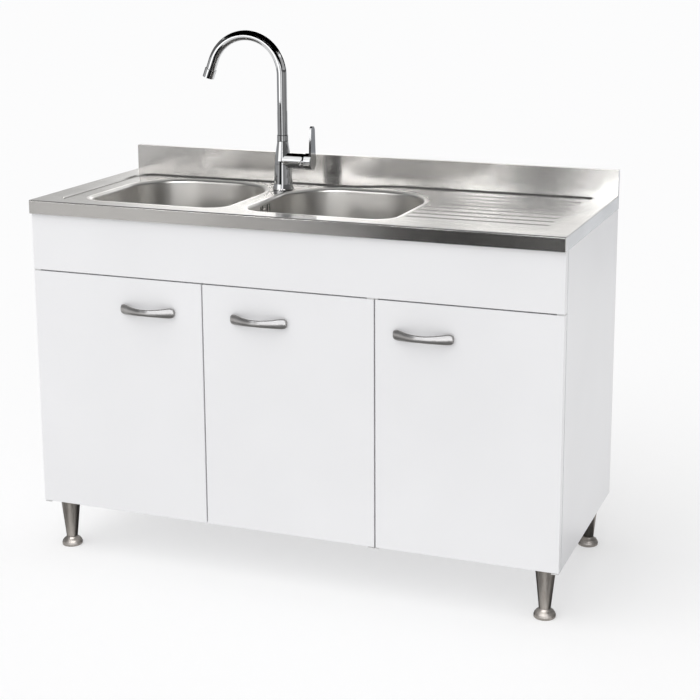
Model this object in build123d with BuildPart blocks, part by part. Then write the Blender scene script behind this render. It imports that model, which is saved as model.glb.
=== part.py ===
# Kitchen sink unit: white three-door base unit, folded steel sit-on top with two bowls and a
# ribbed drainer, high-arc mixer tap, bow handles and tapered levelling feet.
# Millimetres. +X right, +Y towards the wall, +Z up; origin on the floor under the middle.
from build123d import *
import os
from math import cos, hypot, radians, sin, tan

# ---- whole unit ----
unit_width = 1200
sink_depth = 500
deck_height = 812
splash_height = 58            # splashback above the deck, 870 from the floor
handle_overhang = 20          # the handles stand this far in front of the steel top
running_gap = 0.08            # radial clearance of shafts that turn or slide
pass_gap = 0.6                # between faces that move past each other

# ---- steel top ----
sheet = 1.0
apron_height = 30
lip_width = 20                # turned-in lip under the apron
splash_thickness = 14
recess_depth = 3              # pressed wet zone
recess_left, recess_right = 48, 46      # raised border at the two ends
recess_front = 30
recess_tap_ledge, recess_back = 64, 28  # behind the bowls, and behind the drainer
ledge_end, ledge_slant = 590, 100       # where that ledge runs out to the narrower border
recess_corner, recess_rear_corner = 42, 10
recess_slope = 30             # pressed edge, degrees
bowl_length, bowl_width = 331, 328
bowl_front_corner, bowl_rear_corner = 45, 130   # larger at the back, beside the tap
bowl_depth = 155
bowl_draft = 3                # degrees
bowl_roll = 8                 # rounded edge where the deck turns down into a bowl
bowl_seat = 4                 # flat flange outside that roll
bowl_front = 68               # apron to bowl opening
bowl_start, bowl_gap = 99, 52           # unit end to the first opening, and between the two
bowl_bottom_round = 26
drain_radius = 44.5
rib_count, rib_pitch, rib_height, rib_radius = 8, 39.7, 1.1, 13
rib_front = 120               # first rib behind the apron
rib_bowl_gap, rib_end_gap = 21, 67      # ribs from the right bowl and from the unit's end

# ---- cabinet ----
leg_height = 116
board = 18
side_inset = 1                # steel top overhangs the sides
door_setback = 8              # fronts lie this far behind the apron
door_gap = 3
carcass_gap = 3               # between door backs and carcass
door_split_left, door_split_right = 412, 803      # middles of the two vertical gaps
fascia_height = 127           # steel top down to the middle of the gap below
door_lift = 1.5               # doors clear the lower hinge plates
edge_round = 1.2
rail_height = 82
back_board = 4
notch_gap = 24                # the partition is cut down this far under the right bowl
partition_strip = 37
cutout_left, cutout_right = 190, 90     # opening in the back, from the waste outlet
cutout_below, cutout_above = 72, 108

# ---- fronts ----
handle_length, handle_reach = 129, 28
handle_holes, handle_screw_radius = 96, 2
handle_drop = 68              # door top to handle axis
left_handle_x, middle_handle_x, right_handle_x = 283, 545, 909.5
pivot_in, pivot_deep = 8, 13  # hinge pin from the door's outer edge and from its back
pin_radius, pin_length = 2, 12
hinge_plate = 1.6
hinge_leg, hinge_leg_gap = 2, 5         # leg on the carcass edge, and its gap to the front rail
hinge_width = 14
plate_overhang, plate_bearing = 4, 30   # plate beyond the pin, and under the carcass

# ---- feet ----
cone_top_radius, cone_foot_radius = 22.5, 12.5
cone_foot_height = 20
foot_radius = 23
foot_inset_x, foot_inset_front, foot_inset_back = 38.5, 54, 42
stud_radius, stud_top = 5, 70

# ---- tap ----
tap_offset, tap_y = 28, 336   # from the left bowl's edge and from the apron
tap_hole_radius = 17.5
spout_radius, spout_wall = 11.5, 1.5
spout_bend, spout_straight = 87.3, 23   # bend radius, and straight length after the bend
spout_rise = 347.5            # deck to the centre line at the top of the arch
bend_sweep = 160              # degrees
collar_rise, collar_length, collar_radius = 111, 14, 12.6
socket_deep = 25              # the spout's foot inside the tap body
base_radius = 23.5
branch_rise = 67
branch_radius = 17.8
branch_reach = 49             # tap axis to the centre of the domed end
cap_start, cap_end, cap_radius = 9, 26, 19.2      # lever cap from the dome's centre
blade_rise, blade_thick = 81, 5
blade_low, blade_high = 15, 10.8        # half widths at the cap and at the tip
spindle_radius, cross_pin_radius = 6, 2
stem_radius, eye_half = 2.2, 2.5        # lever stem, and its eye on the cross pin
cartridge_radius = 14
shank_radius, shank_deep, shank_gap = 16.9, 17, 0.3
seal_thick, washer_thick = 1, 3
tap_nut_radius, tap_nut_thick = 23, 10
inlet_radius, inlet_depth, inlet_spread = 4.5, 14, 7.5
aerator_radius, aerator_length = 13.4, 20

# ---- waste ----
pipe_radius, pipe_wall = 20, 2
pipe_drop = 109               # bowl floor to the link pipe's axis
trap_drop, trap_length, trap_radius = 154, 128, 34
trap_wall, trap_collar, cup_height = 3, 14, 28
link_bend, dip_deep = 32, 42  # bend of the link pipe, and the dip tube below the outlet
outlet_drop, trap_outlet_reach = 192, 60
nut_radius, nut_half = 27, 11
cup_radius, cup_deep, outlet_deep = 43, 38, 64
dish_radius = 57
basket_radius, basket_deep = 33, 24
gasket_thick, flange_nut_thick, flange_nut_radius = 3, 9, 52
tee_reach = 45
overflow_y, overflow_drop = 182, 18     # behind the apron, and below the recess
slot_near, slot_far, slot_half = 12, 23.5, 9            # slots beside the overflow screw
slot_width = 5
overflow_pipe_radius = 9.5
overflow_run_drop = 25        # bowl floor to the overflow pipe's lower run
box_deep, box_half_width, box_below, box_wall = 25, 31, 16, 2.5
screw_radius = 2

front_y = handle_overhang - (sink_depth + handle_overhang) / 2
left_x = -unit_width / 2
back_y = front_y + sink_depth
lip_z = deck_height - apron_height
splash_y = back_y - splash_thickness
splash_top = deck_height + splash_height
recess_z = deck_height - recess_depth
side_x = -left_x - side_inset
door_y = front_y + door_setback
door_back = door_y + board
carcass_y = door_back + carcass_gap
carcass_back = back_y - side_inset
floor_top = leg_height + board
door_low = leg_height + door_lift
fascia_split = lip_z - fascia_height
door_high = fascia_split - door_gap / 2
split_left = left_x + door_split_left
split_right = left_x + door_split_right
bowl_y = front_y + bowl_front + bowl_width / 2
bowl_left_x = left_x + bowl_start + bowl_length / 2
bowl_right_x = bowl_left_x + bowl_length + bowl_gap
rib_start = bowl_right_x + bowl_length / 2 + rib_bowl_gap
rib_end = -left_x - rib_end_gap
bowl_floor = recess_z - bowl_depth
notch_z = bowl_floor - notch_gap
tap_at = (bowl_left_x + bowl_length / 2 + tap_offset, front_y + tap_y)
spout_top = recess_z + spout_rise
collar_low = recess_z + collar_rise
collar_high = collar_low + collar_length
branch_height = recess_z + branch_rise
handle_z = door_high - handle_drop
dome_x = tap_at[0] + branch_reach
trap_x = bowl_right_x
pipe_level = bowl_floor - pipe_drop
trap_top = bowl_floor - trap_drop
trap_floor = trap_top - trap_length
trap_outlet_level = bowl_floor - outlet_drop
overflow_z = recess_z - overflow_drop
overflow_run_z = bowl_floor - overflow_run_drop
foot_x = side_x - foot_inset_x
foot_front_y = front_y + foot_inset_front
foot_back_y = carcass_back - foot_inset_back

os.makedirs("parts", exist_ok=True)


def slab(x0, x1, y0, y1, z0, z1, mode=Mode.ADD):
    """A square-edged block between two corners."""
    with Locations(((x0 + x1) / 2, (y0 + y1) / 2, (z0 + z1) / 2)):
        Box(x1 - x0, y1 - y0, z1 - z0, mode=mode)


def rod(x, y, z0, z1, radius, mode=Mode.ADD):
    """An upright cylinder between two heights."""
    with Locations((x, y, (z0 + z1) / 2)):
        Cylinder(radius, z1 - z0, mode=mode)


def rod_x(x0, x1, y, z, radius, mode=Mode.ADD):
    """A cylinder lying along X."""
    with Locations(Location(((x0 + x1) / 2, y, z), (0, 90, 0))):
        Cylinder(radius, x1 - x0, mode=mode)


def rod_y(x, y0, y1, z, radius, mode=Mode.ADD):
    """A cylinder lying along Y."""
    with Locations(Location((x, (y0 + y1) / 2, z), (90, 0, 0))):
        Cylinder(radius, y1 - y0, mode=mode)


def turned(x, y, outline, mode=Mode.ADD):
    """A turned piece about the upright axis through x, y; outline is (radius, height) pairs."""
    with BuildSketch(Plane.XZ.offset(-y)) as profile:
        with BuildLine():
            Polyline([(x + r, z) for r, z in outline], close=True)
        make_face()
    revolve(profile.sketch, axis=Axis((x, y, 0), (0, 0, 1)), mode=mode)


def bowl_outline(grow):
    """A bowl's mouth, drawn larger all round by grow."""
    with BuildSketch() as mouth:
        Rectangle(bowl_length + 2 * grow, bowl_width + 2 * grow)
        fillet(mouth.vertices().group_by(Axis.Y)[-1], bowl_rear_corner + grow)
        fillet(mouth.vertices().group_by(Axis.Y)[0], bowl_front_corner + grow)
    return mouth.sketch


def recess_outline(grow):
    """The wet zone: wide border behind the bowls, a narrow one behind the drainer."""
    front, rear = front_y + recess_front, splash_y - recess_back
    right, ledge = -left_x - recess_right, splash_y - recess_tap_ledge
    with BuildSketch() as zone:
        with BuildLine():
            Polyline([(left_x + recess_left, front), (right, front), (right, rear),
                      (left_x + ledge_end + ledge_slant, rear), (left_x + ledge_end, ledge),
                      (left_x + recess_left, ledge)], close=True)
        make_face()
        corners = zone.vertices()
        fillet([v for v in corners if v.Y < front + 1 or v.X < left_x + recess_left + 1],
               recess_corner)
        fillet([v for v in zone.vertices() if v.X > right - 1 and v.Y > rear - 1],
               recess_rear_corner)
        fillet([v for v in zone.vertices() if abs(v.X - left_x - ledge_end) < 1
                or abs(v.X - left_x - ledge_end - ledge_slant) < 1], ledge_slant)
        if grow:
            offset(amount=grow, mode=Mode.REPLACE)
    return zone.sketch


# ================= steel top =================
def top_envelope(inset):
    """The worktop's solid envelope; drawn one sheet smaller it is the hollow inside."""
    low = lip_z + inset
    rear = splash_y + inset
    with BuildPart() as body:
        with BuildSketch(Plane.YZ.offset(left_x + inset)):
            with BuildLine():
                Polyline([(front_y + inset, low), (front_y + inset, deck_height - inset),
                          (rear, deck_height - inset), (rear, splash_top - inset),
                          (back_y - inset, splash_top - inset), (back_y - inset, low)],
                         close=True)
            face = make_face()
            fillet([v for v in face.vertices()
                    if abs(v.X - front_y - inset) < 0.1 and v.Y > low + 1], 3 - inset)
            fillet([v for v in face.vertices()
                    if abs(v.X - rear) < 0.1 and v.Y < deck_height + 1], 7 + inset)
            fillet([v for v in face.vertices() if v.Y > splash_top - inset - 0.1], 2.4 - inset)
        extrude(amount=unit_width - 2 * inset)
        with BuildSketch(Plane.XY.offset(deck_height - inset)):
            add(recess_outline(inset))
        extrude(amount=-recess_depth, taper=recess_slope, mode=Mode.SUBTRACT)
        for n in range(rib_count):
            y = front_y + rib_front + n * rib_pitch
            axis_z = recess_z + rib_height - rib_radius
            rod_x(rib_start, rib_end, y, axis_z, rib_radius - inset)
            with Locations((rib_start, y, axis_z), (rib_end, y, axis_z)):
                Sphere(rib_radius - inset)
    return body.part


top_outside = top_envelope(0)
top_inside = top_envelope(sheet)

with BuildPart() as sink_deck:
    add(top_outside)
    add(top_inside, mode=Mode.SUBTRACT)
    slab(left_x + lip_width, -left_x - lip_width, front_y + lip_width, back_y - lip_width,
         lip_z - sheet, lip_z + 2 * sheet, mode=Mode.SUBTRACT)
    with BuildSketch(Plane.XY.offset(deck_height)):
        for x in (bowl_left_x, bowl_right_x):
            add(Pos(x, bowl_y) * bowl_outline(bowl_roll + bowl_seat))
    extrude(amount=-2 * recess_depth, mode=Mode.SUBTRACT)
    rod(*tap_at, recess_z - 2 * recess_depth, deck_height, tap_hole_radius, mode=Mode.SUBTRACT)
    # the turned-down corners are eased at both ends
    ends = [e for e in sink_deck.edges().filter_by(Axis.Z)
            if abs(abs(e.center().X) + left_x) < 0.01 and abs(e.center().Y - front_y) < 0.01]
    fillet(ends, 2)
sink_deck.part.label = "sink_deck"


def drawn_bowl(grow):
    """One drawn bowl as a solid at the origin, top face at the recess level."""
    with BuildPart() as body:
        with BuildSketch(Plane.XY.offset(recess_z)):
            add(bowl_outline(grow))
        extrude(amount=-(bowl_depth + grow), taper=bowl_draft)
        fillet(body.faces().sort_by(Axis.Z)[0].edges(), bowl_bottom_round + grow)
    return body.part


bowl_outside = drawn_bowl(sheet)
bowl_inside = drawn_bowl(0)


def mouth_edges(body, z):
    """The loop of edges round the bowl's mouth at one height, without the flange's rim."""
    reach_x, reach_y = bowl_length / 2 + 2 * sheet, bowl_width / 2 + 2 * sheet
    loop = []
    for edge in body.edges():
        box = edge.bounding_box()
        if (abs(box.min.Z - z) < 0.01 and abs(box.max.Z - z) < 0.01
                and max(-box.min.X, box.max.X) < reach_x
                and max(-box.min.Y, box.max.Y) < reach_y):
            loop.append(edge)
    return loop


def build_bowl(label, x, slots):
    with BuildPart() as body:
        add(bowl_outside)
        with BuildSketch(Plane.XY.offset(recess_z - sheet)):
            add(bowl_outline(bowl_roll + bowl_seat))
        extrude(amount=sheet)
        fillet(mouth_edges(body, recess_z - sheet), bowl_roll - sheet)
        add(bowl_inside, mode=Mode.SUBTRACT)
        fillet(mouth_edges(body, recess_z), bowl_roll)
        rod(0, 0, bowl_floor - 2 * sheet, bowl_floor + sheet, drain_radius, mode=Mode.SUBTRACT)
        if slots:
            wall_x = -bowl_length / 2
            for dy in (-slot_far, -slot_near, slot_near, slot_far):
                slab(wall_x - 6, wall_x + 8, overflow_dy + dy - slot_width / 2,
                     overflow_dy + dy + slot_width / 2, overflow_z - slot_half,
                     overflow_z + slot_half, mode=Mode.SUBTRACT)
            rod_x(wall_x - 6, wall_x + 8, overflow_dy, overflow_z, 2.5, mode=Mode.SUBTRACT)
    placed = Pos(x, bowl_y, 0) * body.part
    placed.label = label
    return placed


overflow_dy = front_y + overflow_y - bowl_y
bowl_left = build_bowl("bowl_left", bowl_left_x, False)
bowl_right = build_bowl("bowl_right", bowl_right_x, True)


# ================= cabinet =================
with BuildPart() as side_panel_left:
    slab(-side_x, board - side_x, carcass_y, carcass_back, leg_height, lip_z)

with BuildPart() as side_panel_right:
    slab(side_x - board, side_x, carcass_y, carcass_back, leg_height, lip_z)

with BuildPart() as bottom_panel:
    slab(board - side_x, side_x - board, carcass_y, carcass_back - back_board,
         leg_height, floor_top)

with BuildPart() as back_panel:
    slab(board - side_x, side_x - board, carcass_back - back_board, carcass_back,
         leg_height, lip_z)
    # opening for the wall connections
    slab(trap_x - cutout_left, trap_x + cutout_right, carcass_back - 2 * back_board,
         carcass_back + back_board, trap_outlet_level - cutout_below,
         trap_outlet_level + cutout_above, mode=Mode.SUBTRACT)

with BuildPart() as front_rail:
    slab(board - side_x, side_x - board, door_back, door_back + board,
         lip_z - rail_height, lip_z)

with BuildPart() as rear_rail:
    slab(board - side_x, side_x - board, carcass_back - back_board - board,
         carcass_back - back_board, lip_z - rail_height, lip_z)

with BuildPart() as partition_panel:
    slab(split_right - board / 2, split_right + board / 2, carcass_y,
         carcass_back - back_board, floor_top, notch_z)
    slab(split_right - board / 2, split_right + board / 2, carcass_y,
         carcass_y + partition_strip, notch_z, lip_z - rail_height)

with BuildPart() as fascia_panel:
    slab(-side_x, side_x, door_y, door_back, fascia_split + door_gap / 2, lip_z)
    fillet(fascia_panel.edges().filter_by(Axis.Z), edge_round)
    fillet(fascia_panel.edges().group_by(Axis.Z)[0], edge_round / 2)


# ================= doors, hinge pins and handles =================
door_spans = {
    "left": (-side_x, split_left - door_gap / 2, 1, left_x + left_handle_x),
    "middle": (split_left + door_gap / 2, split_right - door_gap / 2, -1,
               left_x + middle_handle_x),
    "right": (split_right + door_gap / 2, side_x, -1, left_x + right_handle_x),
}
handle_sections = [            # share of half length, stand-off, half thickness, half height
    (1.0, 3.4, 2.4, 5.6), (0.965, 4.2, 4.6, 9.0), (0.86, 6.2, 5.6, 10.8), (0.72, 10.5, 5.4, 10.3),
    (0.45, 18.2, 4.9, 8.6), (0.2, 22.8, 4.6, 7.6), (0.0, 23.4, 4.6, 7.3),
]


def pin_place(span):
    """Where a door's hinge pins stand: just inside its outer front edge."""
    outer = span[0] if span[2] > 0 else span[1]
    return outer + span[2] * pivot_in, door_back - pivot_deep


def build_door(label, span):
    x0, x1, _, handle_x = span
    with BuildPart() as body:
        slab(x0, x1, door_y, door_back, door_low, door_high)
        fillet(body.edges(), edge_round)
        pin_x, pin_y = pin_place(span)
        for z0, z1 in ((door_low, door_low + pin_length + 1), (door_high - pin_length - 1,
                                                               door_high)):
            rod(pin_x, pin_y, z0, z1, pin_radius + running_gap, mode=Mode.SUBTRACT)
        for side in (-1, 1):
            rod_y(handle_x + side * handle_holes / 2, door_y, door_back, handle_z,
                  handle_screw_radius + 0.3, mode=Mode.SUBTRACT)
    body.part.label = label
    return body.part


def build_handle(label, handle_x):
    stations = ([(-s[0],) + s[1:] for s in handle_sections]
                + [s for s in reversed(handle_sections[:-1])])
    with BuildPart() as body:
        for share, off, thick, high in stations:
            with BuildSketch(Plane((handle_x + share * handle_length / 2, door_y - off, handle_z),
                                   x_dir=(0, 1, 0), z_dir=(1, 0, 0))):
                Ellipse(thick, high)
        loft()
        slab(handle_x - handle_length, handle_x + handle_length, door_y, door_back,
             handle_z - 30, handle_z + 30, mode=Mode.SUBTRACT)
        for side in (-1, 1):
            rod_y(handle_x + side * handle_holes / 2, door_y - 10, door_y, handle_z, 5)
        for side in (-1, 1):
            rod_y(handle_x + side * handle_holes / 2, door_y - 9, door_y, handle_z,
                  handle_screw_radius, mode=Mode.SUBTRACT)
    body.part.label = label
    return body.part


def build_handle_screws(label, handle_x):
    with BuildPart() as body:
        for side in (-1, 1):
            x = handle_x + side * handle_holes / 2
            rod_y(x, door_y - 8.5, door_back + 1, handle_z, handle_screw_radius)
            rod_y(x, door_back, door_back + 2, handle_z, 2 * handle_screw_radius + 0.2)
    body.part.label = label
    return body.part


front_pieces = []
for name, span in door_spans.items():
    front_pieces.append(build_door("door_" + name, span))
    front_pieces.append(build_handle("handle_" + name, span[3]))
    front_pieces.append(build_handle_screws("handle_screws_" + name, span[3]))

with BuildPart() as hinge_brackets:
    for name, span in door_spans.items():
        pin_x, pin_y = pin_place(span)
        # the plates bear on the carcass edge beside the pin
        edge_x = (span[0] if name == "left" else span[1]) + span[2] * board / 2
        bear_x = split_right if name == "middle" else edge_x
        low = min(pin_x, bear_x) - hinge_width / 2
        high = max(pin_x, bear_x) + hinge_width / 2
        tongue = door_high + (door_gap - hinge_plate) / 2
        slab(low, high, pin_y - plate_overhang, carcass_y, tongue, tongue + hinge_plate)
        slab(bear_x - hinge_width / 2, bear_x + hinge_width / 2, carcass_y - hinge_leg, carcass_y,
             tongue, lip_z - rail_height - hinge_leg_gap)
        rod(pin_x, pin_y, door_high - pin_length, tongue + hinge_plate / 2, pin_radius)
        slab(low, high, pin_y - plate_overhang, carcass_y + plate_bearing,
             leg_height - hinge_plate, leg_height)
        rod(pin_x, pin_y, leg_height - hinge_plate / 2, door_low + pin_length, pin_radius)


# ================= feet =================
foot_places = {
    "front_left": (-foot_x, foot_front_y), "front_right": (foot_x, foot_front_y),
    "rear_left": (-foot_x, foot_back_y), "rear_right": (foot_x, foot_back_y),
}

with BuildPart() as leg_cones:
    for x, y in foot_places.values():
        turned(x, y, [(0, cone_foot_height), (cone_foot_radius, cone_foot_height),
                      (cone_top_radius - 0.8, leg_height - 9), (cone_top_radius, leg_height - 5),
                      (cone_top_radius, leg_height), (0, leg_height)])
        rod(x, y, cone_foot_height, stud_top + 12, stud_radius + running_gap, mode=Mode.SUBTRACT)


def build_foot(label, x, y):
    top = cone_foot_height - pass_gap
    with BuildPart() as body:
        turned(x, y, [(0, 0), (foot_radius - 1, 0), (foot_radius, 1), (foot_radius, 5.5),
                      (foot_radius - 1.2, 9.2), (foot_radius - 4, 13), (foot_radius - 8, 16),
                      (cone_foot_radius - 0.5, top), (0, top)])
        rod(x, y, top, stud_top, stud_radius)
    body.part.label = label
    return body.part


foot_pieces = [build_foot("foot_" + name, *place) for name, place in foot_places.items()]


# ================= mixer tap =================
seal_top = recess_z + seal_thick
shank_low = recess_z - shank_deep
socket_low = collar_low - socket_deep
branch_back, branch_floor = dome_x - 26, dome_x + 3

with BuildPart() as tap_body:
    # radius at each height above the deck, from the base up to the spout's collar
    turned(*tap_at, [(0, seal_top), (base_radius, seal_top)]
           + [(radius, recess_z + rise) for radius, rise in (
               (base_radius, 4), (21.8, 14), (20.6, 29), (19.4, 48), (18.5, branch_rise),
               (16.8, 80), (15, 93), (13.4, 104), (collar_radius, collar_rise),
               (0, collar_rise))])
    rod_x(tap_at[0], dome_x, tap_at[1], branch_height, branch_radius)
    with Locations((dome_x, tap_at[1], branch_height)):
        Sphere(branch_radius)
    rod(*tap_at, shank_low, seal_top, shank_radius)
    rod(*tap_at, socket_low, collar_low, spout_radius + running_gap, mode=Mode.SUBTRACT)
    rod_x(branch_back, branch_floor + 1, tap_at[1], branch_height, cartridge_radius,
          mode=Mode.SUBTRACT)
    rod_x(branch_floor, dome_x + branch_radius + 1, tap_at[1], branch_height, 11.5,
          mode=Mode.SUBTRACT)
    for side in (-1, 1):       # threaded inlets for hot and cold supply
        rod(tap_at[0] + side * inlet_spread, tap_at[1], shank_low, shank_low + inlet_depth,
            inlet_radius, mode=Mode.SUBTRACT)

with BuildPart() as tap_seal:
    rod(*tap_at, recess_z, seal_top, base_radius - 1)
    rod(*tap_at, recess_z, seal_top, shank_radius + shank_gap, mode=Mode.SUBTRACT)

washer_low = recess_z - sheet - washer_thick

with BuildPart() as tap_washer:
    rod(*tap_at, washer_low, recess_z - sheet, tap_nut_radius + 0.5)
    rod(*tap_at, washer_low, recess_z - sheet, shank_radius + shank_gap, mode=Mode.SUBTRACT)

with BuildPart() as tap_nut:
    with BuildSketch(Plane.XY.offset(washer_low)):
        with Locations(tap_at):
            RegularPolygon(tap_nut_radius, 6)
            Circle(shank_radius, mode=Mode.SUBTRACT)
    extrude(amount=-tap_nut_thick)

with BuildPart() as cartridge:
    rod_x(branch_back, branch_back + 16, tap_at[1], branch_height, cartridge_radius)
    rod_x(branch_back, branch_back + 16, tap_at[1], branch_height,
          spindle_radius + running_gap, mode=Mode.SUBTRACT)

fork_half, fork_gap, fork_arm = 4.5, 3, 3

with BuildPart() as lever_spindle:
    rod_x(branch_back + 1, dome_x - spindle_radius, tap_at[1], branch_height, spindle_radius)
    for side in (-1, 1):
        y = tap_at[1] + side * (fork_gap + fork_arm / 2)
        slab(dome_x - 8, dome_x + 5, y - fork_arm / 2, y + fork_arm / 2,
             branch_height - fork_half, branch_height + fork_half)
    rod_y(dome_x, tap_at[1] - fork_gap - fork_arm + 1, tap_at[1] + fork_gap + fork_arm - 1,
          branch_height, cross_pin_radius)

ball = branch_radius + pass_gap
blade_x = dome_x + cap_end - blade_thick
blade_top = branch_height + blade_rise

with BuildPart() as lever:
    # a cap hollowed to a ball so that it swings round the domed end, with its blade and stem
    with BuildSketch(Plane((dome_x, tap_at[1], branch_height), x_dir=(1, 0, 0),
                           z_dir=(0, -1, 0))):
        with BuildLine():
            rim = (cap_start, (ball ** 2 - cap_start ** 2) ** 0.5)
            Polyline([rim, (cap_start, cap_radius), (cap_end - 1.5, cap_radius),
                      (cap_end, cap_radius - 1.5), (cap_end, 0), (ball, 0)])
            ThreePointArc((ball, 0), (ball * cos(radians(30)), ball * sin(radians(30))), rim)
        make_face()
    revolve(axis=Axis((dome_x, tap_at[1], branch_height), (1, 0, 0)))
    with BuildSketch(Plane.YZ.offset(blade_x)):
        with BuildLine():
            shoulder = blade_top - blade_high + 0.8
            Polyline([(tap_at[1] - blade_low, branch_height), (tap_at[1] - blade_high, shoulder),
                      (tap_at[1] + blade_high, shoulder), (tap_at[1] + blade_low, branch_height)],
                     close=True)
        make_face()
        with Locations((tap_at[1], blade_top - blade_high)):
            Circle(blade_high)
    extrude(amount=blade_thick)
    rod_x(dome_x + 3, blade_x + 1, tap_at[1], branch_height, stem_radius)
    rod_y(dome_x, tap_at[1] - eye_half, tap_at[1] + eye_half, branch_height, 2 * stem_radius)
    rod_y(dome_x, tap_at[1] - fork_gap, tap_at[1] + fork_gap, branch_height,
          cross_pin_radius + running_gap, mode=Mode.SUBTRACT)

bend_z = spout_top - spout_bend
bend_end = (tap_at[0] - spout_bend + spout_bend * cos(radians(bend_sweep)),
            bend_z + spout_bend * sin(radians(bend_sweep)))
outlet_way = (-sin(radians(bend_sweep)), cos(radians(bend_sweep)))
outlet_plane = Plane((bend_end[0] + spout_straight * outlet_way[0], tap_at[1],
                      bend_end[1] + spout_straight * outlet_way[1]),
                     z_dir=(outlet_way[0], 0, outlet_way[1]))
tube_end = 12                 # length of tube inside the aerator
spout_run = spout_straight + tube_end

with BuildPart() as spout_tube:
    with BuildLine(Plane.XZ.offset(-tap_at[1])) as spout_path:
        Line((tap_at[0], socket_low + 1), (tap_at[0], bend_z))
        CenterArc((tap_at[0] - spout_bend, bend_z), spout_bend, 0, bend_sweep)
        Line(bend_end, (bend_end[0] + spout_run * outlet_way[0],
                        bend_end[1] + spout_run * outlet_way[1]))
    with BuildSketch(Plane.XY.offset(socket_low + 1)):
        with Locations(tap_at):
            Circle(spout_radius)
            Circle(spout_radius - spout_wall, mode=Mode.SUBTRACT)
    sweep()

with BuildPart() as spout_collar:
    turned(*tap_at, [(spout_radius, collar_low + pass_gap), (collar_radius, collar_low + pass_gap),
                     (collar_radius, collar_high - 1), (collar_radius - 0.7, collar_high),
                     (spout_radius, collar_high)])

with BuildPart() as aerator:
    with BuildSketch(outlet_plane):
        Circle(aerator_radius)
    extrude(amount=aerator_length)
    with BuildSketch(outlet_plane):
        Circle(spout_radius)
    extrude(amount=tube_end, mode=Mode.SUBTRACT)
    with BuildSketch(outlet_plane.offset(aerator_length)):
        Circle(aerator_radius - 2.9)
    extrude(amount=-4, mode=Mode.SUBTRACT)
    with BuildSketch(outlet_plane.offset(aerator_length)):
        with PolarLocations(7, 8):
            Circle(1.2)
        with PolarLocations(3.4, 4):
            Circle(1.2)
    extrude(amount=-aerator_length, mode=Mode.SUBTRACT)


# ================= wastes, overflow and trap =================
def build_waste(label, x):
    f = bowl_floor
    with BuildPart() as body:
        turned(x, bowl_y, [(dish_radius, f), (dish_radius, f + 0.8), (dish_radius - 2, f + 1.6),
                           (cup_radius + 1, f + 1.6),
                           (cup_radius - 2, f - 3), (cup_radius - 2, f - cup_deep + 2),
                           (pipe_radius - pipe_wall, f - cup_deep - 2),
                           (pipe_radius - pipe_wall, f - outlet_deep), (pipe_radius, f - outlet_deep),
                           (pipe_radius, f - cup_deep - 4), (cup_radius, f - cup_deep),
                           (cup_radius, f)])
    body.part.label = label
    return body.part


def build_basket(label, x):
    f = bowl_floor
    with BuildPart() as body:
        floor = f - basket_deep
        turned(x, bowl_y, [(0, floor), (basket_radius, floor), (cup_radius - 2.7, f - 3.4),
                           (cup_radius + 0.3, f + 1.2), (cup_radius - 0.6, f + 1.8),
                           (cup_radius - 3.7, f - 3), (basket_radius - 0.8, floor + 1.2),
                           (0, floor + 1.2)])
        # drain holes and the lifting knob
        for ring, count in ((26, 16), (18, 12), (11, 6)):
            with BuildSketch(Plane.XY.offset(floor - 1)):
                with Locations((x, bowl_y)):
                    with PolarLocations(ring, count):
                        Circle(2.1)
            extrude(amount=3, mode=Mode.SUBTRACT)
        turned(x, bowl_y, [(0, floor + 1), (3, floor + 1), (3, f - 12), (7.5, f - 9), (8.5, f - 5),
                           (7, f - 3), (0, f - 2.4)])
    body.part.label = label
    return body.part


waste_pieces = [build_waste("waste_left", bowl_left_x), build_waste("waste_right", bowl_right_x),
                build_basket("basket_left", bowl_left_x),
                build_basket("basket_right", bowl_right_x)]

gasket_top = bowl_floor - sheet
gasket_low = gasket_top - gasket_thick
flange_nut_low = gasket_low - flange_nut_thick

with BuildPart() as waste_gaskets:
    for x in (bowl_left_x, bowl_right_x):
        rod(x, bowl_y, gasket_low, gasket_top, flange_nut_radius + 2)
        rod(x, bowl_y, gasket_low, gasket_top, cup_radius, mode=Mode.SUBTRACT)

with BuildPart() as waste_nuts:
    for x in (bowl_left_x, bowl_right_x):
        rod(x, bowl_y, flange_nut_low, gasket_low, flange_nut_radius)
        with Locations((x, bowl_y, (flange_nut_low + gasket_low) / 2)):
            with PolarLocations(flange_nut_radius - 1, 8):
                Box(8, 6, flange_nut_thick)
        rod(x, bowl_y, flange_nut_low, gasket_low, cup_radius, mode=Mode.SUBTRACT)

waste_low = bowl_floor - outlet_deep

with BuildPart() as link_pipe:
    with BuildLine(Plane.XZ.offset(-bowl_y)) as link_path:
        FilletPolyline((bowl_left_x, waste_low), (bowl_left_x, pipe_level),
                       (trap_x - tee_reach, pipe_level), radius=link_bend)
    with BuildSketch(Plane.XY.offset(waste_low)):
        with Locations((bowl_left_x, bowl_y)):
            Circle(pipe_radius)
            Circle(pipe_radius - pipe_wall, mode=Mode.SUBTRACT)
    sweep()

dip_low = trap_outlet_level - dip_deep

with BuildPart() as waste_tee:
    rod(trap_x, bowl_y, dip_low, waste_low, pipe_radius)
    rod_x(trap_x - tee_reach, trap_x, bowl_y, pipe_level, pipe_radius)
    rod(trap_x, bowl_y, dip_low, waste_low, pipe_radius - pipe_wall, mode=Mode.SUBTRACT)
    rod_x(trap_x - tee_reach, trap_x, bowl_y, pipe_level, pipe_radius - pipe_wall,
          mode=Mode.SUBTRACT)

trap_split = trap_floor + cup_height

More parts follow.
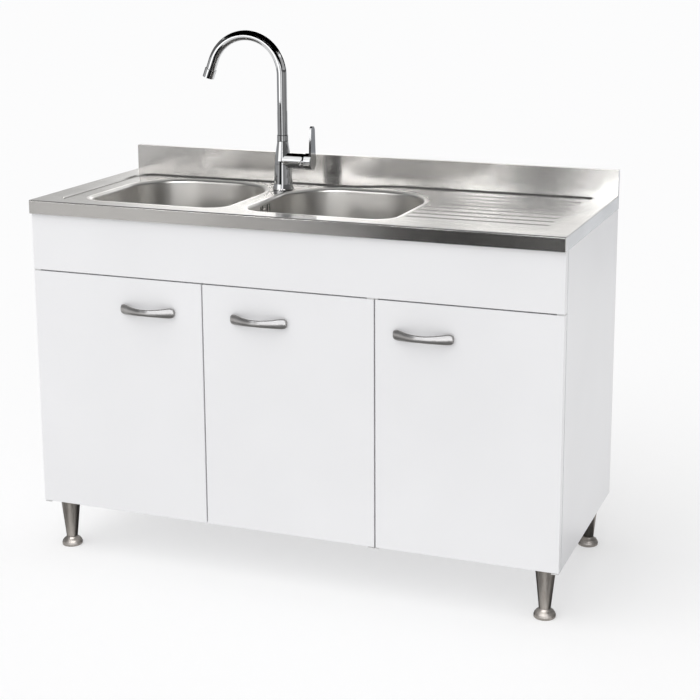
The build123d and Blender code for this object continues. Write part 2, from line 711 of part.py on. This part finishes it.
with BuildPart() as trap_body:
    rod(trap_x, bowl_y, trap_split, trap_top, trap_radius)
    rod(trap_x, bowl_y, trap_top, trap_top + trap_collar, nut_radius)
    rod_y(trap_x, bowl_y, bowl_y + trap_outlet_reach, trap_outlet_level,
          pipe_radius + pipe_wall)
    rod(trap_x, bowl_y, trap_split, trap_top - trap_wall, trap_radius - trap_wall,
        mode=Mode.SUBTRACT)
    rod(trap_x, bowl_y, trap_split, trap_top + trap_collar, pipe_radius, mode=Mode.SUBTRACT)
    rod_y(trap_x, bowl_y + trap_radius - 2 * trap_wall, bowl_y + trap_outlet_reach,
          trap_outlet_level, pipe_radius - pipe_wall, mode=Mode.SUBTRACT)

cup_outer, cup_inner = trap_radius + trap_wall, trap_radius - trap_wall
cup_rim = trap_split + 12

with BuildPart() as trap_cup:
    turned(trap_x, bowl_y, [(0, trap_floor), (cup_inner, trap_floor), (cup_outer, trap_floor + 7),
                            (cup_outer, cup_rim), (trap_radius, cup_rim),
                            (trap_radius, trap_split), (cup_inner, trap_split),
                            (cup_inner, trap_floor + 9), (cup_inner - 3, trap_floor + trap_wall),
                            (0, trap_floor + trap_wall)])

with BuildPart() as outlet_pipe:
    rod_y(trap_x, bowl_y + trap_outlet_reach, back_y, trap_outlet_level, pipe_radius)
    rod_y(trap_x, bowl_y + trap_outlet_reach, back_y, trap_outlet_level,
          pipe_radius - pipe_wall, mode=Mode.SUBTRACT)

stub_end = bowl_y + trap_outlet_reach

with BuildPart() as pipe_nuts:
    for x in (bowl_left_x, bowl_right_x):
        rod(x, bowl_y, waste_low - nut_half, waste_low + nut_half, nut_radius)
    rod_x(trap_x - tee_reach - nut_half, trap_x - tee_reach + nut_half, bowl_y, pipe_level,
          nut_radius)
    rod_y(trap_x, stub_end - 2 * nut_half, stub_end, trap_outlet_level, nut_radius)
    # bored for the pipes they hold
    for x in (bowl_left_x, bowl_right_x):
        rod(x, bowl_y, waste_low - 2 * nut_half, waste_low + 2 * nut_half, pipe_radius,
            mode=Mode.SUBTRACT)
    rod_x(trap_x - tee_reach - 2 * nut_half, trap_x, bowl_y, pipe_level, pipe_radius,
          mode=Mode.SUBTRACT)
    rod_y(trap_x, stub_end - 3 * nut_half, stub_end + nut_half, trap_outlet_level,
          pipe_radius + pipe_wall, mode=Mode.SUBTRACT)

slot_y = front_y + overflow_y
wall_x = bowl_right_x - bowl_length / 2 + (recess_z - overflow_z) * tan(radians(bowl_draft))
box_x, box_lip = wall_x - box_deep, wall_x + 4
overflow_x = wall_x - box_deep / 2 - 1
box_floor, box_top = overflow_z - box_below, recess_z - bowl_roll
overflow_bore = overflow_pipe_radius - 1.5
run_x, run_y = bowl_right_x - overflow_x, bowl_y - slot_y
run = hypot(run_x, run_y)
run_reach = 1 - (cup_radius - 6) / run
run_end = (overflow_x + run_x * run_reach, slot_y + run_y * run_reach)

with BuildPart() as overflow_box:
    slab(box_x, box_lip, slot_y - box_half_width, slot_y + box_half_width, box_floor, box_top)
    slab(box_x + box_wall, box_lip, slot_y - box_half_width + box_wall,
         slot_y + box_half_width - box_wall, box_floor + box_wall, box_top - box_wall,
         mode=Mode.SUBTRACT)
    rod(overflow_x, slot_y, box_floor, box_floor + 2 * box_wall, overflow_bore,
        mode=Mode.SUBTRACT)
    # boss for the overflow screw
    rod_x(box_x, box_x + 14, slot_y, overflow_z, 2 * screw_radius + 0.5)
    rod_x(box_x + 5, box_x + 16, slot_y, overflow_z, screw_radius, mode=Mode.SUBTRACT)
    add(Pos(bowl_right_x, bowl_y, 0) * bowl_outside, mode=Mode.SUBTRACT)

with BuildPart() as overflow_pipe:
    with BuildLine() as overflow_path:
        FilletPolyline((overflow_x, slot_y, box_floor), (overflow_x, slot_y, overflow_run_z),
                       (*run_end, overflow_run_z), radius=16)
    with BuildSketch(Plane.XY.offset(box_floor)):
        with Locations((overflow_x, slot_y)):
            Circle(overflow_pipe_radius)
            Circle(overflow_bore, mode=Mode.SUBTRACT)
    sweep()
    # the lower end meets the side of the waste cup
    rod(bowl_right_x, bowl_y, overflow_run_z - 2 * overflow_pipe_radius,
        overflow_run_z + 2 * overflow_pipe_radius, cup_radius, mode=Mode.SUBTRACT)

with BuildPart() as overflow_screw:
    rod_x(box_x + 6, wall_x + 0.6, slot_y, overflow_z, screw_radius)
    rod_x(wall_x + 0.4, wall_x + 2, slot_y, overflow_z, 2 * screw_radius + 0.4)


# ================= files =================
named = dict(
    sink_deck=sink_deck, side_panel_left=side_panel_left, side_panel_right=side_panel_right,
    bottom_panel=bottom_panel, back_panel=back_panel, front_rail=front_rail,
    rear_rail=rear_rail, partition_panel=partition_panel, fascia_panel=fascia_panel,
    hinge_brackets=hinge_brackets, leg_cones=leg_cones, tap_body=tap_body, tap_seal=tap_seal,
    tap_washer=tap_washer, tap_nut=tap_nut, cartridge=cartridge, lever_spindle=lever_spindle,
    lever=lever, spout_tube=spout_tube, spout_collar=spout_collar, aerator=aerator,
    waste_gaskets=waste_gaskets, waste_nuts=waste_nuts, link_pipe=link_pipe,
    waste_tee=waste_tee, trap_body=trap_body, trap_cup=trap_cup, outlet_pipe=outlet_pipe,
    pipe_nuts=pipe_nuts, overflow_box=overflow_box, overflow_pipe=overflow_pipe,
    overflow_screw=overflow_screw)
pieces = [bowl_left, bowl_right] + front_pieces + foot_pieces + waste_pieces
for name, builder in named.items():
    builder.part.label = name
    pieces.append(builder.part)

for piece in pieces:
    export_step(piece, "parts/%s.step" % piece.label)
    print("%-24s solids %d  volume %.1f cm3" % (piece.label, len(piece.solids()),
                                              piece.volume / 1000))
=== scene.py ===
import math

import bmesh
import bpy
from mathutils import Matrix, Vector


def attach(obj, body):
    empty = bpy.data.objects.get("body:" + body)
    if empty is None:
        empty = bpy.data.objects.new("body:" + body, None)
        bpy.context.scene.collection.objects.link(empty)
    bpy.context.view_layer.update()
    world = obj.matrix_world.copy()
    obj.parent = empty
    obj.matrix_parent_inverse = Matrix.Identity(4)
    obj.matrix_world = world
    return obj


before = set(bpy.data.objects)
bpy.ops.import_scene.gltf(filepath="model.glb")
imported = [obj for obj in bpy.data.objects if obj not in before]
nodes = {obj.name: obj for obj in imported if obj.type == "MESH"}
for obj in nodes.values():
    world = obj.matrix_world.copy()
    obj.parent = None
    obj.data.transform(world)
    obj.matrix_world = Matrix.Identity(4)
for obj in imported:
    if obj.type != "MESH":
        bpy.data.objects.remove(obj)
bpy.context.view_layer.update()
print("frame loaded:", len(nodes), "nodes")

scene = bpy.context.scene

# a noise keeps near its middle, so these limits open it out to the whole range
noiseSpan = {"glossLow": 0.3, "glossHigh": 0.7, "toneLow": 0.35, "toneHigh": 0.65}


# one small node tree per finish; every texture is laid in object space, in metres
def newFinish(name, **sockets):
    material = bpy.data.materials.new(name)
    material.use_nodes = True
    shader = material.node_tree.nodes["Principled BSDF"]
    for socket, value in sockets.items():
        shader.inputs[socket.replace("_", " ")].default_value = value
    return material, material.node_tree, shader


# scale is one number for even marks, or three for marks that are drawn out
def noiseOf(tree, scale, detail, rough=0.55):
    place = tree.nodes.new("ShaderNodeTexCoord")
    stretch = tree.nodes.new("ShaderNodeMapping")
    noise = tree.nodes.new("ShaderNodeTexNoise")
    stretch.inputs["Scale"].default_value = scale if isinstance(scale, tuple) else (scale,) * 3
    noise.inputs["Scale"].default_value = 1.0
    noise.inputs["Detail"].default_value = detail
    noise.inputs["Roughness"].default_value = rough
    tree.links.new(place.outputs["Object"], stretch.inputs["Vector"])
    tree.links.new(stretch.outputs["Vector"], noise.inputs["Vector"])
    return noise.outputs["Fac"]


def giveTone(tree, shader, value, look):
    ramp = tree.nodes.new("ShaderNodeValToRGB")
    ramp.color_ramp.elements[0].position = noiseSpan["toneLow"]
    ramp.color_ramp.elements[0].color = (*look["dark"], 1)
    ramp.color_ramp.elements[1].position = noiseSpan["toneHigh"]
    ramp.color_ramp.elements[1].color = (*look["light"], 1)
    tree.links.new(value, ramp.inputs["Fac"])
    tree.links.new(ramp.outputs["Color"], shader.inputs["Base Color"])


def giveGloss(tree, shader, value, look):
    remap = tree.nodes.new("ShaderNodeMapRange")
    remap.inputs["From Min"].default_value = noiseSpan["glossLow"]
    remap.inputs["From Max"].default_value = noiseSpan["glossHigh"]
    remap.inputs["To Min"].default_value = look["smooth"]
    remap.inputs["To Max"].default_value = look["rough"]
    tree.links.new(value, remap.inputs["Value"])
    tree.links.new(remap.outputs["Result"], shader.inputs["Roughness"])


def giveBump(tree, shader, value, look):
    bump = tree.nodes.new("ShaderNodeBump")
    bump.inputs["Strength"].default_value = 1.0
    bump.inputs["Distance"].default_value = look["bump"]
    tree.links.new(value, bump.inputs["Height"])
    tree.links.new(bump.outputs["Normal"], shader.inputs["Normal"])


# the top: fine lines along the unit in its gloss, broad cloudy patches in its tone
steelLook = {"dark": (0.56, 0.55, 0.535), "light": (0.64, 0.63, 0.615), "smooth": 0.15, "rough": 0.21,
             "streak": 0.75, "bump": 0.000008, "lines": (4, 500, 500), "clouds": (5, 9, 9)}


def brushedSteel(name, look):
    material, tree, shader = newFinish(name, Metallic=1.0, Anisotropic=look["streak"])
    across = tree.nodes.new("ShaderNodeCombineXYZ")       # gloss spreads across the brushing, up and back
    across.inputs["Y"].default_value = across.inputs["Z"].default_value = 1.0
    tree.links.new(across.outputs["Vector"], shader.inputs["Tangent"])
    lines = noiseOf(tree, look["lines"], detail=6, rough=0.7)
    giveTone(tree, shader, noiseOf(tree, look["clouds"], detail=3), look)
    giveGloss(tree, shader, lines, look)
    giveBump(tree, shader, lines, look)
    return material


# drawn bowls are satin: rounder, softer marks than the flat sheet
bowlLook = {"dark": (0.62, 0.605, 0.585), "light": (0.69, 0.68, 0.66), "smooth": 0.28, "rough": 0.33,
            "bump": 0.000008, "marks": 30, "clouds": 7}


def drawnSteel(name, look):
    material, tree, shader = newFinish(name, Metallic=1.0)
    marks = noiseOf(tree, look["marks"], detail=3, rough=0.5)
    giveTone(tree, shader, noiseOf(tree, look["clouds"], detail=2), look)
    giveGloss(tree, shader, marks, look)
    giveBump(tree, shader, marks, look)
    return material


# melamine-faced board: near white, faint orange peel and a whisper of tone
boardLook = {"dark": (0.835, 0.835, 0.845), "light": (0.86, 0.86, 0.87), "smooth": 0.32, "rough": 0.42,
             "bump": 0.00002, "shine": 0.42, "peel": 900, "clouds": 3}
backLook = {**boardLook, "dark": (0.74, 0.74, 0.73), "light": (0.8, 0.8, 0.79)}


def facedBoard(name, look):
    material, tree, shader = newFinish(name, Specular_IOR_Level=look["shine"])
    peel = noiseOf(tree, look["peel"], detail=2)
    giveTone(tree, shader, noiseOf(tree, look["clouds"], detail=2), look)
    giveGloss(tree, shader, peel, look)
    giveBump(tree, shader, peel, look)
    return material


chromeLook = {"dark": (0.60, 0.605, 0.61), "light": (0.66, 0.665, 0.67), "smooth": 0.03, "rough": 0.075,
              "film": 25}


def polishedChrome(name, look):
    material, tree, shader = newFinish(name, Metallic=1.0)
    film = noiseOf(tree, look["film"], detail=3)
    giveTone(tree, shader, film, look)
    giveGloss(tree, shader, film, look)
    return material


# handles are rubbed along their length, feet up and down
handleLook = {"dark": (0.345, 0.335, 0.325), "light": (0.37, 0.36, 0.35), "smooth": 0.28, "rough": 0.3,
              "bump": 0.000002, "rub": (60, 400, 400)}
footLook = {"dark": (0.30, 0.275, 0.25), "light": (0.36, 0.335, 0.31), "smooth": 0.38, "rough": 0.44,
            "bump": 0.000002, "rub": (300, 300, 60)}


def satinNickel(name, look):
    material, tree, shader = newFinish(name, Metallic=1.0)
    rub = noiseOf(tree, look["rub"], detail=4, rough=0.6)
    giveTone(tree, shader, rub, look)
    giveGloss(tree, shader, rub, look)
    giveBump(tree, shader, rub, look)
    return material


# moulded and painted pieces share one skin; smooth and rough lie a little either side of gloss
skinLook = {"shine": 0.45, "skin": 240, "bump": 0.00006, "smoother": 0.06, "rougher": 0.08}


def mouldedPlastic(name, light, dark, gloss=0.4):
    look = {**skinLook, "light": light, "dark": dark, "smooth": gloss - skinLook["smoother"],
            "rough": gloss + skinLook["rougher"]}
    material, tree, shader = newFinish(name, Specular_IOR_Level=look["shine"])
    skin = noiseOf(tree, look["skin"], detail=3)
    giveTone(tree, shader, skin, look)
    giveGloss(tree, shader, skin, look)
    giveBump(tree, shader, skin, look)
    return material


platedLook = {"smooth": 0.28, "rough": 0.45, "spangle": 150}


def platedMetal(name, light, dark):
    look = {**platedLook, "light": light, "dark": dark}
    material, tree, shader = newFinish(name, Metallic=1.0)
    spangle = noiseOf(tree, look["spangle"], detail=3)
    giveTone(tree, shader, spangle, look)
    giveGloss(tree, shader, spangle, look)
    return material


finishes = {
    "topSteel": brushedSteel("topSteel", steelLook),
    "bowlSteel": drawnSteel("bowlSteel", bowlLook),
    "whiteBoard": facedBoard("whiteBoard", boardLook),
    "backBoard": facedBoard("backBoard", backLook),
    "tapChrome": polishedChrome("tapChrome", chromeLook),
    "handleNickel": satinNickel("handleNickel", handleLook),
    "footNickel": satinNickel("footNickel", footLook),
    "plainBrass": platedMetal("plainBrass", (0.72, 0.52, 0.26), (0.62, 0.44, 0.2)),
    "zincPlate": platedMetal("zincPlate", (0.62, 0.63, 0.65), (0.5, 0.51, 0.53)),
    "blackRubberAndGapShade": mouldedPlastic("blackRubberAndGapShade", (0.03, 0.03, 0.03), (0.018, 0.018, 0.018), 0.6),
    "whiteLacquer": mouldedPlastic("whiteLacquer", (0.80, 0.80, 0.79), (0.75, 0.75, 0.74), 0.3),
    "greyPlastic": mouldedPlastic("greyPlastic", (0.42, 0.43, 0.44), (0.36, 0.37, 0.38)),
    "whitePlastic": mouldedPlastic("whitePlastic", (0.83, 0.83, 0.81), (0.77, 0.77, 0.75), 0.34),
}
print("finishes made:", len(finishes))

wears = {
    "topSteel": ["sink_deck"],
    "bowlSteel": ["bowl_left", "bowl_right", "waste_left", "waste_right", "basket_left",
                  "basket_right", "overflow_screw"],
    "whiteBoard": ["side_panel_left", "side_panel_right", "bottom_panel", "front_rail", "rear_rail",
                   "partition_panel", "fascia_panel", "door_left", "door_middle", "door_right"],
    "backBoard": ["back_panel"],
    "tapChrome": ["tap_body", "lever", "spout_tube", "spout_collar", "aerator"],
    "handleNickel": ["handle_left", "handle_middle", "handle_right"],
    "footNickel": ["leg_cones", "foot_front_left", "foot_front_right", "foot_rear_left",
                   "foot_rear_right"],
    "plainBrass": ["tap_nut", "lever_spindle"],
    "whiteLacquer": ["hinge_brackets"],
    "zincPlate": ["tap_washer", "handle_screws_left", "handle_screws_middle", "handle_screws_right"],
    "blackRubberAndGapShade": ["tap_seal", "waste_gaskets"],
    "greyPlastic": ["cartridge", "overflow_box", "overflow_pipe"],
    "whitePlastic": ["waste_nuts", "link_pipe", "waste_tee", "trap_body", "trap_cup", "outlet_pipe",
                     "pipe_nuts"],
}
for finish, wearers in wears.items():
    for node in wearers:
        nodes[node].data.materials.clear()
        nodes[node].data.materials.append(finishes[finish])
print("finishes given to the nodes:", sum(len(w) for w in wears.values()))

# painted shade: thin black rings round the tap stand in for the shadow in the gaps between its parts,
# turned from a small round section that is mostly sunk
tapAxis = (-0.142, 0.096)
gapShadeRings = {
    "collarSeamLow": {"body": "cabinet", "height": 0.9203, "radius": 0.01265, "thick": 0.0011},
    "collarSeamTop": {"body": "swivel_spout", "height": 0.9338, "radius": 0.012, "thick": 0.0011},
    "bodySeam": {"body": "cabinet", "height": 0.8685, "radius": 0.01898, "thick": 0.0008},
}
seamShape = {"stepsAround": 64, "sectionSides": 8, "inward": 0.25}    # inward: share of the thickness


def gapShadeRingMesh(look):
    build = bmesh.new()
    centre = look["radius"] - look["thick"] * seamShape["inward"]
    loop = []
    for side in range(seamShape["sectionSides"]):
        angle = 2 * math.pi * side / seamShape["sectionSides"]
        loop.append(build.verts.new((centre + look["thick"] / 2 * math.cos(angle), 0,
                                     look["thick"] / 2 * math.sin(angle))))
    edges = [build.edges.new((a, b)) for a, b in zip(loop, loop[1:] + loop[:1])]
    bmesh.ops.spin(build, geom=loop + edges, cent=(0, 0, 0), axis=(0, 0, 1), angle=2 * math.pi,
                   steps=seamShape["stepsAround"], use_merge=True)
    bmesh.ops.recalc_face_normals(build, faces=build.faces)
    for face in build.faces:
        face.smooth = True
    return build


for name, look in gapShadeRings.items():
    mesh = bpy.data.meshes.new(name)
    build = gapShadeRingMesh(look)
    build.to_mesh(mesh)
    build.free()
    # painted shade: the black finish makes each ring read as a shadowed gap
    mesh.materials.append(finishes["blackRubberAndGapShade"])
    ring = bpy.data.objects.new(name, mesh)
    scene.collection.objects.link(ring)
    ring.location = (*tapAxis, look["height"])
    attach(ring, look["body"])
print("joint lines made:", len(gapShadeRings))

# a bright floor, an even white room, one very soft sun, and cards that only reflections show
studio = {"floorSize": 600, "floorTone": (0.65, 0.65, 0.65), "floorGlow": 0.34,
          "roomTone": (0.68, 0.68, 0.685), "sunPower": 1.15, "sunSpread": 70,
          "sunPlace": (-0.35, -0.48, 0.8), "wallCentre": (-0.14, 0.1), "wallRadius": 3.4,
          "wallStep": 3, "sheetRoughness": 0.9}

# curved walls of light round the tap, each from one height to another; its levels are pairs of
# an angle from the right, anticlockwise, and the brightness there. "only" names one group of
# metal, and walls with no light hold the room back
lightWalls = {
    "frontLow": {"heights": (0.0, 0.4), "tint": (1.0, 0.985, 0.96), "levels": [
        (-140, 0.55), (-127, 0.65), (-123, 0.8), (-115, 0.68), (-110, 0.42), (-106, 0.12),
        (-102, 0.06), (-97, 0.03), (-92, 0.12), (-80, 0.2), (-60, 0.3)]},
    "frontMiddle": {"heights": (0.4, 1.12), "tint": (1, 1, 1.01), "levels": [
        (-182, 0.34), (-140, 0.35), (-132, 0.5), (-124, 0.5), (-116, 0.25), (-112, 0.06),
        (-95, 0.0), (-86, 0.08), (-68, 0.15), (-56, 0.25), (-40, 0.3), (-22, 0.42), (0, 0.25),
        (58, 0.3)]},
    "tubeStrip": {"heights": (0.4, 1.12), "tint": (1, 1, 1.01), "only": "chrome", "radius": 3.3,
                  "levels": [(-88, 0.0), (-86, 0.12), (-81, 1.3), (-73, 1.3), (-68, 0.45), (-60, 0.0)]},
    "chromeHigh": {"heights": (1.12, 1.55), "tint": (1, 1, 1.01), "only": "chrome", "levels": [
        (-182, 0.34), (-122, 0.35), (-112, 0.12), (-90, 0.12), (-84, 1.4), (-73, 1.4), (-66, 0.15),
        (20, 0.12)]},
    "branchGlow": {"heights": (0.9, 1.24), "only": "chrome", "radius": 1.0, "levels": [
        (-140, 0.6), (-128, 1.5), (-100, 1.5), (-94, 0.3)]},
    "frontHigh": {"heights": (1.12, 1.4), "tint": (1.0, 0.985, 0.975), "only": "steel", "levels": [
        (-140, 4.0), (-126, 4.6), (-123, 2.8), (-121, 2.8), (-118.5, 7.0), (-116, 6.5),
        (-113.8, 4.0), (-112.6, 9.5), (-107, 9.0), (-104.4, 1.0), (-102.5, 0.9), (-100.8, 13.5),
        (-99.2, 11.5), (-97.2, 0.0), (-94, 0.1), (-91.8, 5.5), (-86, 6.0)]},
    "frontUpper": {"heights": (1.4, 2.1), "tint": (0.98, 1.0, 1.02), "only": "steel", "levels": [
        (-140, 0.2), (-106, 0.2), (-103, 0.3), (-100.5, 2.1), (-96, 0.6), (-93.5, 1.0),
        (-91.5, 5.0), (-86, 5.5)]},
    "bowlGlow": {"heights": (1.3, 2.7), "only": "bowls", "radius": 3.2, "levels": [
        (-112, 0.0), (-106, 1.8), (-92, 1.2), (-80, 3.4), (-68, 8.5), (-54, 8.5), (-44, 0.0)]},
    "bowlRear": {"heights": (1.0, 2.6), "only": "bowls", "radius": 2.4, "levels": [
        (60, 0.0), (76, 0.8), (126, 0.8), (140, 0.0)]},
    "archSide": {"heights": (1.3, 3.0), "only": "chrome", "radius": 2.2, "levels": [
        (-44, 0.0), (-30, 0.5), (30, 0.5)]},
    "tapRear": {"heights": (0.85, 1.25), "only": "chrome", "radius": 1.2, "levels": [
        (40, 0.0), (60, 0.45), (150, 0.45)]},
    "branchHigh": {"heights": (1.2, 3.0), "only": "tapBody", "radius": 1.0, "levels": [
        (-150, 0.5), (-128, 1.3), (-96, 1.3), (-80, 0.3)]},
    "edgeGlow": {"heights": (1.04, 1.55), "only": "steel", "radius": 1.15, "levels": [
        (-155, 0.3), (-106, 0.3), (-97, 0.08), (-35, 0.08)]},
    "handleGlow": {"heights": (0.02, 3.05), "tint": (0.97, 0.99, 1.03), "only": "nickel",
                   "radius": 2.6, "levels": [
        (-180, 0.3), (-135, 0.15), (-118, 0.4), (-106, 2.2), (-72, 2.4), (-40, 2.2), (-22, 0.4),
        (20, 0.25), (58, 0.2)]},
    "archDark": {"heights": (1.12, 3.2), "radius": 3.6, "levels": [(-142, 0.0), (62, 0.0)]},
    "leftDark": {"heights": (1.12, 3.2), "radius": 3.6, "levels": [(140, 0.15), (218, 0.15)]},
    "deckFill": {"heights": (1.12, 3.0), "only": "deck", "radius": 3.0, "levels": [
        (-84, 0.0), (-72, 0.55), (62, 0.55), (80, 0.25)]},
    "deckFillLeft": {"heights": (1.12, 3.0), "only": "deck", "radius": 3.0, "levels": [
        (142, 0.3), (160, 0.4), (216, 0.4)]},
    "rearLow": {"heights": (0.0, 1.12), "tint": (0.97, 1.0, 1.05), "levels": [
        (58, 0.3), (72, 0.35), (112, 0.6), (140, 0.5), (178, 0.34)]},
    "deckEndGlow": {"heights": (0.0, 0.9), "tint": (0.97, 1.0, 1.05), "only": "steel", "levels": [
        (58, 0.0), (60.5, 0.75), (70, 0.75), (73, 0.0)]},
    "rearHigh": {"heights": (1.15, 1.9), "tint": (1.0, 0.99, 0.975), "levels": [
        (84, 1.4), (96, 1.55), (103, 1.15), (111, 2.1), (121, 1.6), (128, 0.85), (135, 0.6)]},
    "rearUpper": {"heights": (1.9, 2.7), "tint": (1.0, 0.99, 0.975), "levels": [
        (84, 0.3), (112, 0.3), (135, 0.3)]},
}
# flat cards: those with a power shine, the rest are plain dark or grey
flatCards = {
    "ceiling": {"centre": (-0.4, 0.5, 3.2), "size": (6.0, 7.6), "tone": (0.0, 0.0, 0.0)},
    "ceilingGlow": {"centre": (-0.4, 2.3, 3.1), "size": (6.0, 4.4), "power": 0.5, "only": "steel"},
    "frontCeilingGlow": {"centre": (-0.4, -1.6, 3.1), "size": (6.0, 3.2), "power": 0.12,
                         "only": "steel"},
    "floorDark": {"centre": (0.12, -2.45, 0.01), "size": (1.5, 3.3), "turn": (0, 0, -19),
                  "tone": (0.01, 0.01, 0.012)},
    "floorNear": {"centre": (0.0, -0.62, 0.006), "size": (2.8, 0.78), "tone": (0.3, 0.3, 0.3)},
    "footBandLeft": {"centre": (-0.48, -0.52, 0.008), "size": (0.09, 0.62), "turn": (0, 0, 16),
                     "power": 0.7, "only": "feet"},
    "footBandRight": {"centre": (0.63, -0.52, 0.008), "size": (0.09, 0.62), "turn": (0, 0, 16),
                      "power": 0.7, "only": "feet"},
    "footTop": {"centre": (0.0, -1.5, 2.9), "size": (3.4, 1.2), "power": 6.0, "only": "feet"},
    "floorFill": {"centre": (0.12, -2.45, 0.012), "size": (1.5, 3.3), "turn": (0, 0, -19),
                  "power": 0.35, "only": "nickel"},
    "handleCeiling": {"centre": (-0.2, -1.9, 3.0), "size": (3.4, 1.8), "tone": (0.97, 0.99, 1.03),
                      "power": 1.5, "only": "nickel"},
    # painted shade: a black sheet on the floor under the unit, seen only in reflections, stands in for
    # the shaded floor and underside there
    "underUnitShade": {"centre": (0.0, 0.03, 0.005), "size": (1.5, 0.46), "tone": (0, 0, 0)},
    # painted reflection: glowing sheets laid over the bowl openings, seen only in the deck's reflections,
    # brighten the bowls there
    "bowlVeilLeft": {"centre": (-0.3355, -0.01, 0.812), "size": (0.3, 0.3), "tone": (1, 0.98, 0.95),
                     "power": 0.32, "only": "deck"},
    "bowlVeilRight": {"centre": (0.0475, -0.01, 0.812), "size": (0.3, 0.3), "tone": (1, 0.99, 0.97),
                      "power": 0.32, "only": "deck"},
    "frontTop": {"centre": (-0.7, -1.9, 2.7), "size": (1.6, 0.5), "turn": (50, 0, 0), "power": 0.8,
                 "only": "nickel"},
}
cardWhite = (1, 1, 1)

# the groups of metal that have light of their own
litPieces = {"steel": wears["topSteel"] + wears["bowlSteel"], "bowls": wears["bowlSteel"],
             "deck": wears["topSteel"], "chrome": wears["tapChrome"], "tapBody": ["tap_body", "lever"],
             "nickel": wears["handleNickel"] + wears["footNickel"], "feet": wears["footNickel"]}
litGroups = {}
for group, members in litPieces.items():
    litGroups[group] = bpy.data.collections.new(group + "Lit")
    for node in members:
        litGroups[group].objects.link(nodes[node])


def stageSheet(name, corners, faces, tone, power=0.0, glow=cardWhite):
    mesh = bpy.data.meshes.new(name)
    mesh.from_pydata(corners, [], faces)
    sheet = bpy.data.objects.new(name, mesh)
    scene.collection.objects.link(sheet)
    material, tree, shader = newFinish(name, Roughness=studio["sheetRoughness"],
                                       Specular_IOR_Level=0.0)
    shader.inputs["Base Color"].default_value = (*tone, 1)
    shader.inputs["Emission Color"].default_value = (*glow, 1)
    shader.inputs["Emission Strength"].default_value = power
    mesh.materials.append(material)
    return sheet


def glossOnly(sheet):
    sheet.visible_camera = sheet.visible_diffuse = False
    sheet.visible_shadow = sheet.visible_transmission = False


# a card for one group adds its light to that metal and is clear to the others
def lightOnly(sheet, group):
    tree = sheet.data.materials[0].node_tree
    clear = tree.nodes.new("ShaderNodeBsdfTransparent")
    both = tree.nodes.new("ShaderNodeAddShader")
    tree.links.new(tree.nodes["Principled BSDF"].outputs["BSDF"], both.inputs[0])
    tree.links.new(clear.outputs["BSDF"], both.inputs[1])
    tree.links.new(both.outputs["Shader"], tree.nodes["Material Output"].inputs["Surface"])
    sheet.light_linking.receiver_collection = litGroups[group]


def flatSheet(name, size, tone, power, glow=cardWhite):
    x, y = size[0] / 2, size[1] / 2
    return stageSheet(name, [(-x, -y, 0), (x, -y, 0), (x, y, 0), (-x, y, 0)], [(0, 1, 2, 3)], tone,
                      power, glow)


# the wall's corners and the light at each, in steps of a few degrees
def wallShape(look):
    corners, tones = [], []
    levels = look["levels"]
    radius = look.get("radius", studio["wallRadius"])
    for (turn, level), (nextTurn, nextLevel) in zip(levels, levels[1:] + levels[-1:]):
        steps = max(1, round((nextTurn - turn) / studio["wallStep"]))
        for step in range(steps):
            angle = math.radians(turn + (nextTurn - turn) * step / steps)
            x = studio["wallCentre"][0] + radius * math.cos(angle)
            y = studio["wallCentre"][1] + radius * math.sin(angle)
            corners += [(x, y, height) for height in look["heights"]]
            brightness = level + (nextLevel - level) * step / steps
            tones += 2 * [[brightness * t for t in look.get("tint", cardWhite)] + [1.0]]
    return corners, tones


flatSheet("floor", (studio["floorSize"],) * 2, studio["floorTone"], studio["floorGlow"])
for name, look in flatCards.items():
    power = look.get("power", 0.0)
    tone = look.get("tone", cardWhite)
    sheet = flatSheet(name, look["size"], (0, 0, 0) if power else tone, power, tone)
    if "only" in look:
        lightOnly(sheet, look["only"])
    sheet.location = look["centre"]
    sheet.rotation_euler = [math.radians(a) for a in look.get("turn", (0, 0, 0))]
    glossOnly(sheet)
for name, look in lightWalls.items():
    corners, tones = wallShape(look)
    faces = [(n, n + 2, n + 3, n + 1) for n in range(0, len(corners) - 2, 2)]
    wall = stageSheet(name, corners, faces, (0, 0, 0), 1.0)
    glow = wall.data.color_attributes.new("glow", "FLOAT_COLOR", "POINT")
    glow.data.foreach_set("color", [value for tone in tones for value in tone])
    tree = wall.data.materials[0].node_tree
    painted = tree.nodes.new("ShaderNodeVertexColor")
    painted.layer_name = "glow"
    tree.links.new(painted.outputs["Color"], tree.nodes["Principled BSDF"].inputs["Emission Color"])
    if "only" in look:
        lightOnly(wall, look["only"])
    glossOnly(wall)

world = bpy.data.worlds.new("studioWorld")
world.use_nodes = True
world.node_tree.nodes["Background"].inputs["Color"].default_value = (*studio["roomTone"], 1)
scene.world = world

sunData = bpy.data.lights.new("softSun", "SUN")
sunData.energy = studio["sunPower"]
sunData.angle = math.radians(studio["sunSpread"])
sun = bpy.data.objects.new("softSun", sunData)
sun.visible_glossy = False
sun.rotation_euler = Vector(studio["sunPlace"]).to_track_quat("Z", "Y").to_euler()
scene.collection.objects.link(sun)
print("studio set:", len(flatCards) + len(lightWalls), "cards and walls of light")

# camera stands to the right of the unit and looks slightly down on it
viewpoint = {"place": (1.256546, -3.030408, 1.386027), "turn": (78.4925, -0.0539, 19.8347),
             "lens": 77.87, "sensor": 36, "shift": (-0.0643, -0.1571), "clip": (0.05, 100)}
cameraData = bpy.data.cameras.new("viewCamera")
cameraData.sensor_width = viewpoint["sensor"]
cameraData.lens = viewpoint["lens"]
cameraData.shift_x, cameraData.shift_y = viewpoint["shift"]
cameraData.clip_start, cameraData.clip_end = viewpoint["clip"]
camera = bpy.data.objects.new("viewCamera", cameraData)
camera.location = viewpoint["place"]
camera.rotation_euler = [math.radians(a) for a in viewpoint["turn"]]
scene.collection.objects.link(camera)
scene.camera = camera
scene.view_settings.view_transform = "Standard"
print("camera set")
